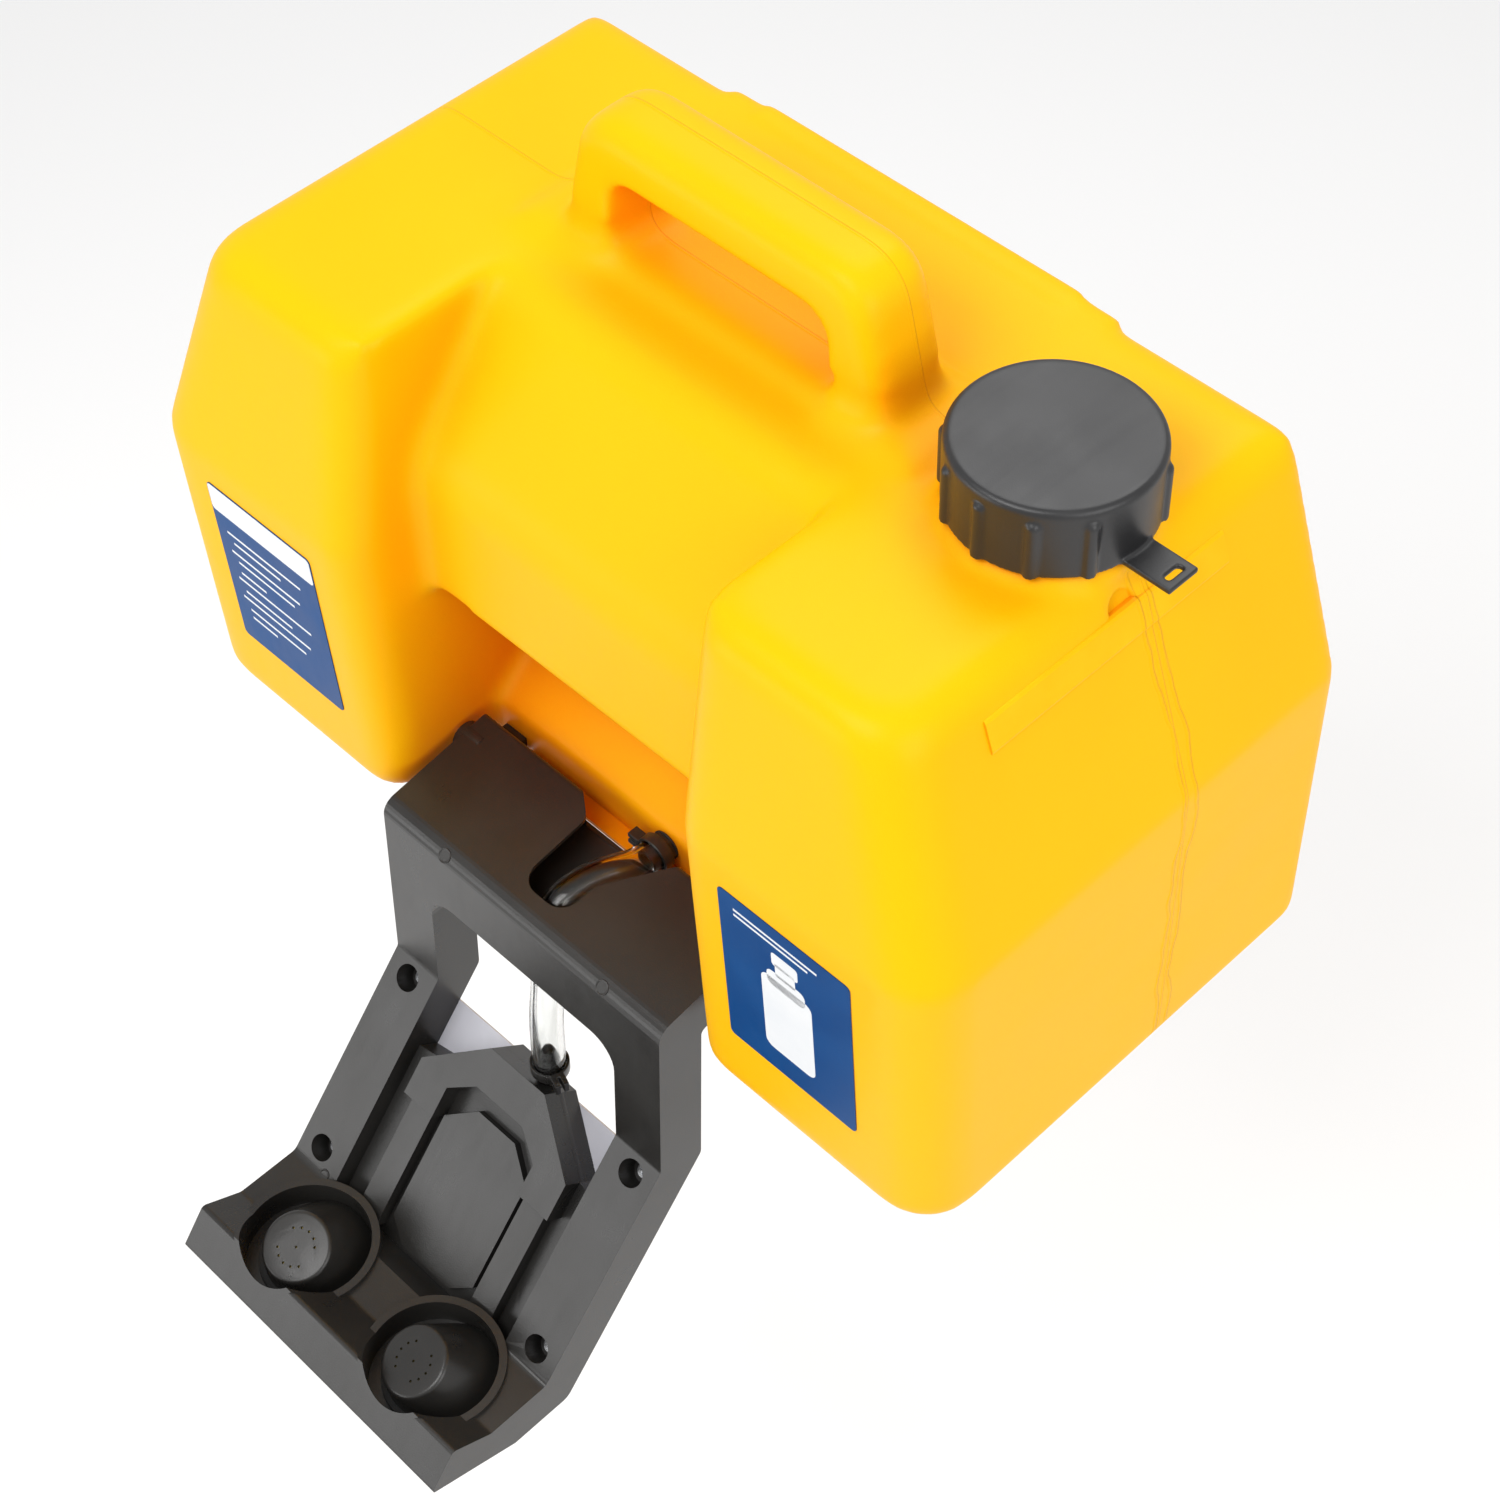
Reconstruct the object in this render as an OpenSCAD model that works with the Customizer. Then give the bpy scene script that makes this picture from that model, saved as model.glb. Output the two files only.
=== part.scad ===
// Portable gravity-fed eyewash station: a two-lobed water tank with a fold-down
// spray arm. Millimetres. X runs along the tank, -Y faces the user, +Z is up.
// The origin is on the tank's flat back, at the middle of its bottom edge.

/* [Tank] */
// Overall width of the tank at the crease of its ends
tank_w = 560; // [520:1:620]
// Width of the tank's flat top
tank_top_w = 472; // [440:1:490]
// Height of the tank, without the handle and the cap
tank_h = 325; // [310:1:360]
// Depth of the tank at its top
tank_top_d = 276; // [262:1:286]
// Depth of the tank at the bend of the lobes' fronts
tank_mid_d = 295; // [290:1:306]
// Depth of the tank at its bottom
tank_low_d = 286; // [276:1:289]
// Height of the crease that runs round the ends and fronts
crease_h = 193; // [170:1:210]
// Clear width of the recess between the two lobes
recess_w = 230; // [224:1:240]
// Wall of the moulded tank
tank_wall = 3; // [2:0.5:4]

/* [Middle of the tank] */
// Depth of the flat top between the lobes
mid_top_d = 181; // [170:1:190]
// Depth of the middle at its front face
mid_face_d = 243; // [235:1:247]
// Height of the upper edge of the front face
mid_face_top = 237; // [225:1:245]
// Height of the lower edge of the front face
mid_face_low = 145; // [138:1:150]
// Depth of the foot below the recess
foot_d = 211; // [208:1:214]
// Height of the foot's upright face
foot_h = 28; // [24:1:30]
// Depth of the tank at the back of the recess
recess_d = 160; // [150:1:168]

/* [Handle] */
// Length of the handle's flat top
handle_top_w = 186; // [170:1:200]
// Length of the handle where it leaves the tank
handle_base_w = 236; // [225:1:250]
// Height of the handle above the tank
handle_h = 84; // [75:1:95]
// Width of the grip
handle_d = 48; // [42:1:54]
// Length of the hand opening
grip_w = 140; // [125:1:150]
// Height of the hand opening
grip_h = 48; // [44:1:52]
// Distance from the back of the tank to the line of handle, neck and mould seam
seam_d = 120; // [112:1:128]

/* [Filler] */
// Distance of the filler neck from the middle of the tank
neck_x = 190; // [185:1:195]
// Outer diameter of the neck
neck_od = 84; // [80:1:86]
// Wall of the neck
neck_wall = 5; // [4:0.5:7]
// Thickness of the cap's side, its thread included
cap_side = 7.5; // [6:0.5:9]
// Height of the cap
cap_h = 40; // [36:1:44]
// Thickness of the cap's top
cap_wall = 3; // [2.5:0.5:4]
// Number of places for ribs round the cap, one of which holds the tab
cap_ribs = 12; // [8:1:16]
// Thickness of the rubber ring in the cap
gasket_t = 3; // [2:0.5:4]
// Gap between cap and neck all round
cap_gap = 0.5; // [0.3:0.1:0.8]

/* [Arm] */
// Width of the arm
arm_w = 216; // [210:1:218]
// Thickness of the arm from front to back
arm_t = 30; // [28:1:32]
// Depth of the front shell; the rest is the back shell
front_shell_t = 18; // [16:1:20]
// Wall of the two shells
shell_wall = 2.5; // [2:0.5:3]
// Length of the box that covers the hose
box_l = 78; // [74:1:82]
// Fall of the box's top towards the user, in degrees
box_fall = 9.5; // [7:0.5:12]
// Height of the upright part below the box
drop_l = 121; // [115:1:127]
// Length of the sloping rails
slope_l = 143; // [138:1:150]
// Angle of the rails to the horizontal, in degrees
slope_a = 49.5; // [47:0.5:52]
// Length of the level platform
deck_l = 40; // [36:1:44]
// Length of the rising lip
lip_l = 29; // [25:1:33]
// Rise of the lip, in degrees
lip_a = 29; // [24:1:34]
// Width of the two side rails
rail_w = 35; // [32:1:38]
// Depth of the cross bar above the window
bar_h = 46; // [42:1:50]
// Depth of the hollow between the rails
hollow_t = 14; // [11:1:15]
// Diameter of the screws' wells
screw_well_d = 16; // [14:1:18]
// Diameter of the pivot pins
pin_d = 10; // [8:1:12]
// Height of the pivot above the tank's base
pivot_z = 22; // [20:1:24]
// Distance of the pivot from the tank's back
pivot_y = 238; // [236:1:240]
// Radial clearance of the pins in their bushes
pin_gap = 0.05; // [0.02:0.01:0.09]

/* [Spray heads] */
// Distance between the two spray heads
head_gap = 108; // [104:1:112]
// Diameter of a spray head at its foot
head_low_d = 58; // [54:1:60]
// Diameter of a spray head at its top
head_top_d = 41; // [38:1:44]
// Height of a spray head along its axis
head_h = 28; // [25:1:31]
// Lean of the heads towards the user, in degrees
head_lean = 24; // [18:1:28]
// Lean of the heads towards each other, in degrees
head_toe = 7; // [4:1:10]
// Diameter of the wells round the heads
well_d = 74; // [72:1:76]
// Depth of the wells
well_t = 15.5; // [13:0.5:15.5]
// Diameter of the spray holes
jet_d = 1.6; // [1.2:0.2:2]

/* [Hose] */
// Outer diameter of the hose
hose_od = 19; // [18:0.5:20]
// Inner diameter of the hose
hose_id = 12.6; // [12:0.2:13]

/* [Labels] */
// Width of a label
label_w = 85; // [75:1:90]
// Height of a label
label_h = 122; // [110:1:126]
// Thickness of a label
label_t = 0.5; // [0.4:0.1:0.8]

/* [Hidden] */
$fn = 64;

tank_black = "#2b2b2b";
tank_yellow = "#ffc20a";

edge_r = 20;         // rounding of the tank's long edges
corner_r = 40;       // rounding of the lobes' outer upright edges
bend_r = 90;         // soft bend of the lobes' fronts
low_r = 12;          // rounding at the tank's base
inner_r = 24;        // rounding of the lobes' inner upright edges
lap = 15;            // how far the middle runs into each lobe
face_lean = 2;       // forward lean of the middle's front face over its height
roof_fall = 15;      // rise of the recess's roof towards its back
fit_gap = 0.2;       // gap round a piece that drops into its place
hair = 0.05;         // overshoot of a cut past the face it leaves

arm_x = arm_w / 2;
lobe_x = recess_w / 2;
body_x = tank_w / 2;

// ---- 2D helpers -------------------------------------------------------------
function unit(v) = v / norm(v);
function turn_left(v) = [-v[1], v[0]];
function at(pts, i) = pts[(i + len(pts)) % len(pts)];

// one rounded corner: points on the arc of radius r that joins the two edges at p
function corner(a, p, b, r) =
  let (u = unit(a - p), v = unit(b - p),
       half = acos(u * v) / 2,
       c = p + unit(u + v) * r / sin(half),
       s = p + u * r / tan(half) - c,
       e = p + v * r / tan(half) - c,
       a0 = atan2(s[1], s[0]),
       raw = atan2(e[1], e[0]) - a0,
       sweep = raw > 180 ? raw - 360 : raw < -180 ? raw + 360 : raw,
       n = max(2, ceil(abs(sweep) / 12)))
  r <= 0 ? [p] : [for (i = [0:n]) c + r * [cos(a0 + sweep * i / n), sin(a0 + sweep * i / n)]];

function rounded(pts, radii) =
  [for (i = [0:len(pts) - 1]) each corner(at(pts, i - 1), pts[i], at(pts, i + 1), radii[i])];

// a closed outline, drawn anticlockwise, moved inwards by t
function inset(pts, t) =
  [for (i = [0:len(pts) - 1])
    let (n1 = turn_left(unit(pts[i] - at(pts, i - 1))),
         n2 = turn_left(unit(at(pts, i + 1) - pts[i])))
    pts[i] + t * (n1 + n2) / (1 + n1 * n2)];

// an open path moved to its left by t
function beside(pts, t) =
  [for (i = [0:len(pts) - 1])
    let (n1 = turn_left(unit(i > 0 ? pts[i] - pts[i - 1] : pts[1] - pts[0])),
         n2 = turn_left(unit(i < len(pts) - 1 ? pts[i + 1] - pts[i] : pts[i] - pts[i - 1])))
    pts[i] + t * (n1 + n2) / (1 + n1 * n2)];

function backwards(pts) = [for (i = [len(pts) - 1:-1:0]) pts[i]];
function part(pts, a, b) = [for (i = [a:b]) pts[i]];

// ---- orienting helpers ------------------------------------------------------
// an outline in (y, z), drawn out along x from x0 to x1
module along_x(x0, x1) {
  translate([x0, 0, 0]) rotate([90, 0, 90]) linear_extrude(x1 - x0) children();
}

// an outline in (x, z), drawn out from y0 back to y1
module along_y(y0, y1) {
  translate([0, y1, 0]) rotate([90, 0, 0]) linear_extrude(y1 - y0) children();
}

module both_sides() {
  children();
  mirror([1, 0, 0]) children();
}

// ---- tank ---------------------------------------------------------------------
lobe_side = [[0, 0], [0, tank_h], [-tank_top_d, tank_h], [-tank_mid_d, crease_h], [-tank_low_d, 0]];
lobe_side_r = [0, edge_r, edge_r, bend_r, low_r];
lobe_face = [[lobe_x, 0], [body_x, 0], [body_x, crease_h], [tank_top_w / 2, tank_h], [lobe_x, tank_h]];
lobe_face_r = [low_r, low_r, edge_r, edge_r, edge_r / 2];
lobe_plan = [[lobe_x, -tank_mid_d], [body_x, -tank_mid_d], [body_x, 0], [lobe_x, 0]];
lobe_plan_r = [inner_r, corner_r, low_r, low_r];
mid_side = [[0, 0], [0, tank_h], [-mid_top_d, tank_h], [-mid_face_d, mid_face_top],
            [-mid_face_d - face_lean, mid_face_low], [-recess_d, mid_face_low - roof_fall],
            [-recess_d, foot_h + foot_d - recess_d], [-foot_d, foot_h], [-foot_d, 0]];
mid_side_r = [0, edge_r, edge_r, edge_r / 2, low_r / 2, edge_r, edge_r, low_r / 2, low_r / 2];

function shrunk(radii, t) = [for (r = radii) r > 0 ? max(r - t, 1) : 0];

module lobe(t) {
  intersection() {
    along_x(lobe_x, body_x) polygon(rounded(inset(lobe_side, t), shrunk(lobe_side_r, t)));
    along_y(-tank_mid_d, 0) polygon(rounded(inset(lobe_face, t), shrunk(lobe_face_r, t)));
    linear_extrude(tank_h) polygon(rounded(inset(lobe_plan, t), shrunk(lobe_plan_r, t)));
  }
}

module middle(t) {
  along_x(-lobe_x - lap, lobe_x + lap) polygon(rounded(inset(mid_side, t), shrunk(mid_side_r, t)));
}

handle_face = [[-handle_base_w / 2, tank_h - edge_r], [handle_base_w / 2, tank_h - edge_r],
               [handle_top_w / 2, tank_h + handle_h], [-handle_top_w / 2, tank_h + handle_h]];
grip_rise = 6;                              // foot of the hand opening above the tank's top
grip_flare = 6;                             // spread of each side of the opening at its foot
grip_r = [6, 6, 14, 14];
grip_z = tank_h + grip_rise;
grip_face = [[-grip_w / 2 - grip_flare, grip_z], [grip_w / 2 + grip_flare, grip_z],
             [grip_w / 2, grip_z + grip_h], [-grip_w / 2, grip_z + grip_h]];
handle_side = [[-seam_d - handle_d / 2, tank_h - edge_r], [-seam_d + handle_d / 2, tank_h - edge_r],
               [-seam_d + handle_d / 2, tank_h + handle_h], [-seam_d - handle_d / 2, tank_h + handle_h]];

module handle(t) {
  difference() {
    intersection() {
      along_y(-tank_mid_d, 0) polygon(rounded(inset(handle_face, t), shrunk([0, 0, edge_r, edge_r], t)));
      along_x(-body_x, body_x) polygon(rounded(inset(handle_side, t), shrunk([0, 0, edge_r, edge_r], t)));
    }
    along_y(-tank_mid_d, 0) polygon(rounded(inset(grip_face, -t), shrunk(grip_r, -t)));
  }
}

cap_rise = 6;                               // gap between the cap's rim and the tank
neck_id = neck_od - 2 * neck_wall;
neck_h = cap_h + cap_rise - gasket_t - cap_wall;
collar_d = neck_od + 14;
collar_h = 4;
lip_w = 210;                                // moulded lip that hooks on a wall rail
lip_d = 14;
socket_wall = 3;
socket_d = pin_d + 2 * socket_wall;
socket_l = 16;
port_x = 20;                                // outlet in the foot below the recess
port_z = 17;
port_d = 12;

sill_w = 180;                               // sill at the foot, between the arm's stop lugs
sill_d = 10;
sill_t = 2.5;

module tank_shell() {
  color(tank_yellow) difference() {
    union() {
      translate([-sill_w / 2, -foot_d - sill_d, 0]) cube([sill_w, sill_d + low_r, sill_t]);
      both_sides() lobe(0);
      middle(0);
      handle(0);
      translate([-lip_w / 2, -lip_d, tank_h - edge_r]) cube([lip_w, lip_d, edge_r + 2]);
      translate([neck_x, -seam_d, tank_h - tank_wall]) {
        cylinder(h = neck_h + tank_wall, d = neck_od);
        cylinder(h = collar_h + tank_wall, d = collar_d);
      }
    }
    difference() {
      union() {
        both_sides() lobe(tank_wall);
        middle(tank_wall);
        handle(tank_wall);
      }
      both_sides() pin_place(lobe_x) cylinder(h = socket_l, d = socket_d);
    }
    both_sides() pin_place(lobe_x - hair) cylinder(h = socket_l - tank_wall, d = pin_d);
    translate([neck_x, -seam_d, tank_h - 2 * tank_wall]) cylinder(h = neck_h + 3 * tank_wall, d = neck_id);
    translate([port_x, -foot_d - hair, port_z]) rotate([-90, 0, 0]) cylinder(h = 2 * tank_wall, d = port_d);
  }
}

// on the pivot's axis, looking out along +x from the given distance
module pin_place(x) {
  translate([x, -pivot_y, pivot_z]) rotate([0, 90, 0]) children();
}

label_in = 6;                               // labels sit this far inside the lobes' middle lines
label_up = 0.75;                            // share of the free height that is below a label

module label(side) {
  lean = atan((tank_mid_d - tank_low_d) / crease_h);
  middle_x = side * (lobe_x + body_x) / 2 - side * label_in;
  translate([middle_x, -tank_low_d, 0]) rotate([lean, 0, 0])
    translate([-label_w / 2, -label_t - hair, (crease_h - label_h) * label_up])
      cube([label_w, label_t, label_h]);
}

module left_label() { color("white") label(-1); }
module right_label() { color("#1d4f91") label(1); }

// ---- outlet and hose ------------------------------------------------------------
flange_d = 18;
flange_t = 3;
washer_t = 1;
barb_l = 12;
nut_t = 6;
stub_l = 6;                                 // thread left over beyond the nut
bore_wall = 2;                              // wall of the barbs

module at_port(y) {
  translate([port_x, y, port_z]) rotate([90, 0, 0]) children();
}

hose_start = -foot_d - washer_t - flange_t;
stub_y = -foot_d + tank_wall + nut_t + stub_l;

module outlet_fitting() {
  color("#3a3a3a") difference() {
    union() {
      at_port(-foot_d - washer_t) cylinder(h = flange_t, d = flange_d, $fn = 6);
      at_port(stub_y) cylinder(h = stub_y - hose_start, d = port_d);
      at_port(hose_start) cylinder(h = barb_l, d = hose_id);
    }
    at_port(stub_y + hair) cylinder(h = stub_y - hose_start + 2 * barb_l, d = hose_id - 2 * bore_wall);
  }
}

module outlet_washer() {
  color("#181818") at_port(-foot_d) difference() {
    cylinder(h = washer_t, d = flange_d);
    translate([0, 0, -hair]) cylinder(h = washer_t + 2 * hair, d = port_d);
  }
}

module outlet_nut() {
  color("white") at_port(-foot_d + tank_wall + nut_t) difference() {
    cylinder(h = nut_t, d = flange_d, $fn = 6);
    translate([0, 0, -hair]) cylinder(h = nut_t + 2 * hair, d = port_d);
  }
}

strainer_l = 34;
strainer_wall = 1.5;
mesh_slot = 2;
mesh_from = 5;                              // first and last slots' distances from the ends
mesh_to = 12;

module strainer() {
  color("silver") at_port(-foot_d + tank_wall + nut_t + strainer_l) difference() {
    cylinder(h = strainer_l, d = port_d + 2 * strainer_wall);
    translate([0, 0, strainer_wall]) cylinder(h = strainer_l, d = port_d + 2 * hair);
    for (turn = [0, 90], step = [mesh_from:2 * mesh_slot:strainer_l - mesh_to])
      rotate([0, 0, turn]) translate([-flange_d, -port_d / 3, step])
        cube([2 * flange_d, port_d * 2 / 3, mesh_slot]);
  }
}

hose_r = hose_od / 2;
inlet_x = 12;
inlet_y = -299;
inlet_z = -112;
hose_path = [
  [port_x, hose_start, port_z], [port_x, -229, port_z], [17, -237, 17], [12, -245, 17], [8, -255, 16],
  [5, -266, 14], [4, -276, 10], [4, -283, 3], [5, -288, -7], [7, -290, -18], [8, -290.5, -28],
  [9.5, -292.5, -42], [11, -296.5, -57], [inlet_x, inlet_y, -74], [inlet_x, inlet_y, inlet_z]
];

function tangent(path, i) =
  i == 0 ? [0, -1, 0] : i == len(path) - 1 ? [0, 0, -1] : unit(path[i + 1] - path[i - 1]);

function ring(p, t, r, sides) =
  let (side = unit(cross(t, [0.9, 0.3, -0.3])), up = cross(side, t))
  [for (k = [0:sides - 1]) p + r * (cos(360 * k / sides) * side + sin(360 * k / sides) * up)];

module swept(path, r, sides) {
  n = len(path);
  points = [for (i = [0:n - 1]) each ring(path[i], tangent(path, i), r, sides)];
  walls = [for (i = [0:n - 2], k = [0:sides - 1])
    [i * sides + k, i * sides + (k + 1) % sides, (i + 1) * sides + (k + 1) % sides, (i + 1) * sides + k]];
  ends = [[for (k = [sides - 1:-1:0]) k], [for (k = [0:sides - 1]) (n - 1) * sides + k]];
  polyhedron(points, concat(walls, ends), convexity = 6);
}

module hose() {
  color([0.9, 0.93, 0.95, 0.5]) difference() {
    swept(hose_path, hose_r, 12);
    at_port(hose_start + hair) cylinder(h = barb_l + 2 * hair, d = hose_id + 2 * hair);
    translate([inlet_x, inlet_y, inlet_z - hair]) cylinder(h = barb_l + 2 * hair, d = hose_id + 2 * hair);
  }
}

clamp_t = 1.6;
clamp_w = 7;
clamp_gap = 0.1;
clamp_off = 0.5;                            // outlet clamp's distance from the flange
clamp_up = 4;                               // inlet clamp's distance from the hose's end
ear_turn = 20;
ear_l = 9;
ear_w = 8;
ear_split = 2;
ear_root = 3;

// a ratchet clamp round the hose: its band and the two-tooth ear beside it
module clamp() {
  difference() {
    union() {
      cylinder(h = clamp_w, d = hose_od + 2 * clamp_t);
      translate([hose_r, -ear_w / 2, 0]) cube([ear_l, ear_w, clamp_w]);
    }
    translate([0, 0, -hair]) cylinder(h = clamp_w + 2 * hair, d = hose_od + 2 * clamp_gap);
    translate([hose_r + ear_root, -ear_split / 2, -hair]) cube([ear_l, ear_split, clamp_w + 2 * hair]);
  }
}

module outlet_clamp() {
  color("#202020") translate([port_x, hose_start - clamp_off, port_z]) rotate([90, 180, 0]) clamp();
}

module inlet_clamp() {
  color("#202020") translate([inlet_x, inlet_y, inlet_z + clamp_up]) rotate([0, 0, -ear_turn]) clamp();
}

// ---- cap ------------------------------------------------------------------------
rib_d = 7;
tab_l = 26;
tab_w = 20;
tab_t = 3;
tab_hole_l = 3.8;
tab_hole_w = 10;
tab_hole_in = 8;                            // from the tab's end to the far side of its slot
rib_sink = 1.5;
rib_drop = 7;                               // ribs end this far below the cap's top
cap_od = neck_od + 2 * (cap_gap + cap_side);
cap_z = tank_h + cap_rise;
tab_end = cap_od / 2 + tab_l;
tab_bend = cap_od / 2 + tab_l / 2;
tab_face = [[0, -tab_w / 2], [tab_bend, -tab_w / 2], [tab_end, -tab_w / 3],
            [tab_end, tab_w / 3], [tab_bend, tab_w / 2], [0, tab_w / 2]];

module cap_place(z) {
  translate([neck_x, -seam_d, z]) children();
}

module filler_cap() {
  color(tank_black) difference() {
    union() {
      cap_place(cap_z) cylinder(h = cap_h, d = cap_od);
      for (i = [1:cap_ribs - 1])
        cap_place(cap_z) rotate([0, 0, i * 360 / cap_ribs]) translate([cap_od / 2 - rib_sink, 0, 0])
          cylinder(h = cap_h - rib_drop, d = rib_d);
      cap_place(cap_z) linear_extrude(tab_t) polygon(tab_face);
    }
    cap_place(cap_z - hair) cylinder(h = cap_h - cap_wall, d = neck_od + 2 * cap_gap);
    cap_place(cap_z - hair) translate([tab_end - tab_hole_in, -tab_hole_w / 2, 0])
      cube([tab_hole_l, tab_hole_w, tab_t + 2 * hair]);
  }
}

module cap_gasket() {
  color("#8a2b20") cap_place(tank_h + neck_h) difference() {
    cylinder(h = gasket_t - hair, d = neck_od);
    translate([0, 0, -hair]) cylinder(h = gasket_t + 2 * hair, d = neck_id);
  }
}

// ---- arm ------------------------------------------------------------------------
box_over = [14, 11]; // back edge of the box's top, behind and above the pivot
drop_a = 87.5;       // slope of the upright part below the box
lip_drop = [29, 52]; // length and slope of the lip's outer face
toe_in = 15;         // underside's end and the seam's, short of the platform's end
seam_in = 6;
seam_share = 0.3;    // the seam's end, as a share of the way from the lip to the toe
soft_front = [3, 10, 4, 6, 6, 3, 2];
soft_back = [4, 8, 6, 4, 3];

function polar(length, a) = length * [-cos(a), -sin(a)];
box_back = box_over + [-pivot_y, pivot_z];
box_front = box_back + polar(box_l, box_fall);
knee = box_front + polar(drop_l, drop_a);
ankle = knee + polar(slope_l, slope_a);
deck_end = ankle + polar(deck_l, 0);
lip_top = deck_end + polar(lip_l, -lip_a);
lip_tip = lip_top + polar(lip_drop[0], lip_drop[1]);
arm_front = [box_back, box_front, knee, ankle, deck_end, lip_top, lip_tip];
toe = deck_end + [toe_in, -arm_t];
arm_back = concat([box_back - [0, arm_t]], part(beside(arm_front, arm_t), 1, 3), [toe]);
seam_toe = deck_end + [seam_in, -front_shell_t];
seam_tip = lip_tip * (1 - seam_share) + toe * seam_share;
arm_seam = concat([box_back - [0, front_shell_t]], part(beside(arm_front, front_shell_t), 1, 3),
                  [seam_toe, seam_tip]);
arm_outline = concat(arm_front, backwards(arm_back));
arm_soft = concat(soft_front, soft_back);
rail_x = arm_x - rail_w;

// the outline's rounded corners from a to b
function soft_run(a, b) =
  [for (i = [a:b]) each corner(at(arm_outline, i - 1), arm_outline[i], at(arm_outline, i + 1), arm_soft[i])];

module arm_part(outline) {
  along_x(-arm_x, arm_x) polygon(outline);
}

module front_part() { arm_part(concat(soft_run(0, len(arm_front) - 1), backwards(arm_seam))); }
module back_part() { arm_part(concat(arm_seam, soft_run(len(arm_front), len(arm_outline) - 1))); }

module arm_cavity() {
  along_x(-arm_x + shell_wall, arm_x - shell_wall)
    polygon(rounded(inset(arm_outline, shell_wall), shrunk(arm_soft, shell_wall)));
}

// on the rails' front face: x across, y up the slope from the knee, z out of the face
module on_slope() {
  translate([0, knee[0], knee[1]]) rotate([slope_a, 0, 0]) children();
}

hub_top = -11;       // upper edge of the chevron cover, measured on the slope
hub_low = -44;       // where the chevron's sides turn down
hub_x = 60;
hub_flat = 22;
ledge_s = hub_low - 2;                      // where the window's lower edge meets the rails
window_r = 18;

function hub_side(side, t) = side < 0 ?
  [[-rail_x - t, ledge_s - t], [-hub_x - t / 2, hub_low - t], [-hub_flat - t / 2, hub_top - t]] :
  [[hub_flat + t / 2, hub_top - t], [hub_x + t / 2, hub_low - t], [rail_x + t, ledge_s - t]];

function window_face(t) =
  concat(hub_side(-1, t), hub_side(1, t), [[rail_x + t, arm_w], [-rail_x - t, arm_w]]);

bar_low = box_front[1] - bar_h;

// the window is the slope's outline, carried up to the bar
module window(t) {
  intersection() {
    on_slope() translate([0, 0, -4 * arm_t]) linear_extrude(8 * arm_t) polygon(window_face(t));
    along_y(-pivot_y - 2 * box_l, -pivot_y) polygon(rounded(
      [[-rail_x - t, knee[1] - arm_w], [rail_x + t, knee[1] - arm_w],
       [rail_x + t, bar_low + t], [-rail_x - t, bar_low + t]], [0, 0, window_r, window_r]));
  }
}

module window_rim() {
  difference() {
    window(shell_wall);
    window(0);
  }
}

hollow_end = -slope_l - 8;                  // the hollow runs out past the platform's bend

module hollow(t) {
  sides = [[rail_x + t, ledge_s], [rail_x + t, hollow_end - t],
           [-rail_x - t, hollow_end - t], [-rail_x - t, ledge_s]];
  on_slope() translate([0, 0, -hollow_t - t]) linear_extrude(2 * arm_t)
    polygon(concat(part(hub_side(-1, 0), 1, 2), part(hub_side(1, 0), 0, 1), sides));
}

well_in = 5;                                // wells' middles, behind the platform's end
well_y = deck_end[0] + well_in;
well_floor = deck_end[1] - well_t;

module wells(t) {
  for (side = [-1, 1])
    translate([side * head_gap / 2, well_y, well_floor - t]) cylinder(h = 2 * arm_t, d = well_d + 2 * t);
}

screw_in = 16;                              // screws' distance from the arm's sides
screw_s = [-12, -130];
screw_places = [for (x = [-1, 1], y = screw_s) [x * (arm_x - screw_in), y]];
screw_d = 4;
screw_seat = 3;                             // floor left under a screw's head

module at_screws(depth) {
  for (p = screw_places) on_slope() translate([p[0], p[1], -depth]) children();
}

slot_x = [-15, 19];  // sides of the hose's slot in the box
slot_mouth = [-32, 46];
slot_l = 61;
slot_wide = [12, 38]; // where its two sides start to spread
slot_r = [0, 8, 12, 12, 8, 0];
slot_face = [[slot_mouth[0], box_back[0] + 1], [slot_x[0], box_back[0] - slot_wide[0]],
             [slot_x[0], box_back[0] - slot_l], [slot_x[1], box_back[0] - slot_l],
             [slot_x[1], box_back[0] - slot_wide[1]], [slot_mouth[1], box_back[0] + 1]];
drop_place = [8, -290];

// the way in for the hose: open at the box's top and back, above its floor
module hose_slot() {
  translate([0, 0, box_back[1] - arm_t + shell_wall]) linear_extrude(2 * arm_t)
    polygon(rounded(slot_face, slot_r));
}

// the hole for the hose in the rim under the cross bar
module hose_drop() {
  translate([drop_place[0], drop_place[1], bar_low - arm_t / 2]) cylinder(h = arm_t, d = hose_od + 1);
}

inlet_w = 16;
inlet_deep = 27;
inlet_s = 13;        // the inlet block starts this far down the slope
inlet_l = 17;
inlet_low = 6;       // the block's top, below the rails' face
barb_root = 16;      // how far the barb runs down into the block

// the block that takes the water from the barb into the manifold, grown by t
module inlet_block(t) {
  on_slope() translate([inlet_x - inlet_w / 2 - t, -inlet_s - inlet_l - t, -inlet_deep - t])
    cube([inlet_w + 2 * t, inlet_l + 2 * t, inlet_deep - inlet_low + 2 * t]);
}

module barb(t) {
  translate([inlet_x, inlet_y, inlet_z - barb_root]) cylinder(h = barb_root + barb_l, d = hose_id + 2 * t);
}

module inlet_space() {
  inlet_block(fit_gap);
  barb(fit_gap);
}

boss_d = 18;
boss_l = 4;
bush_d = 14;
bush_l = 16;

module boss_pair(d, x, l) {
  both_sides() pin_place(x) cylinder(h = l, d = d);
}

tub_r = 4;           // the tubs start this far behind the lip's tip
rim_w = 4.5;
rim_h = 3;           // wells' rims above the platform

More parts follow.
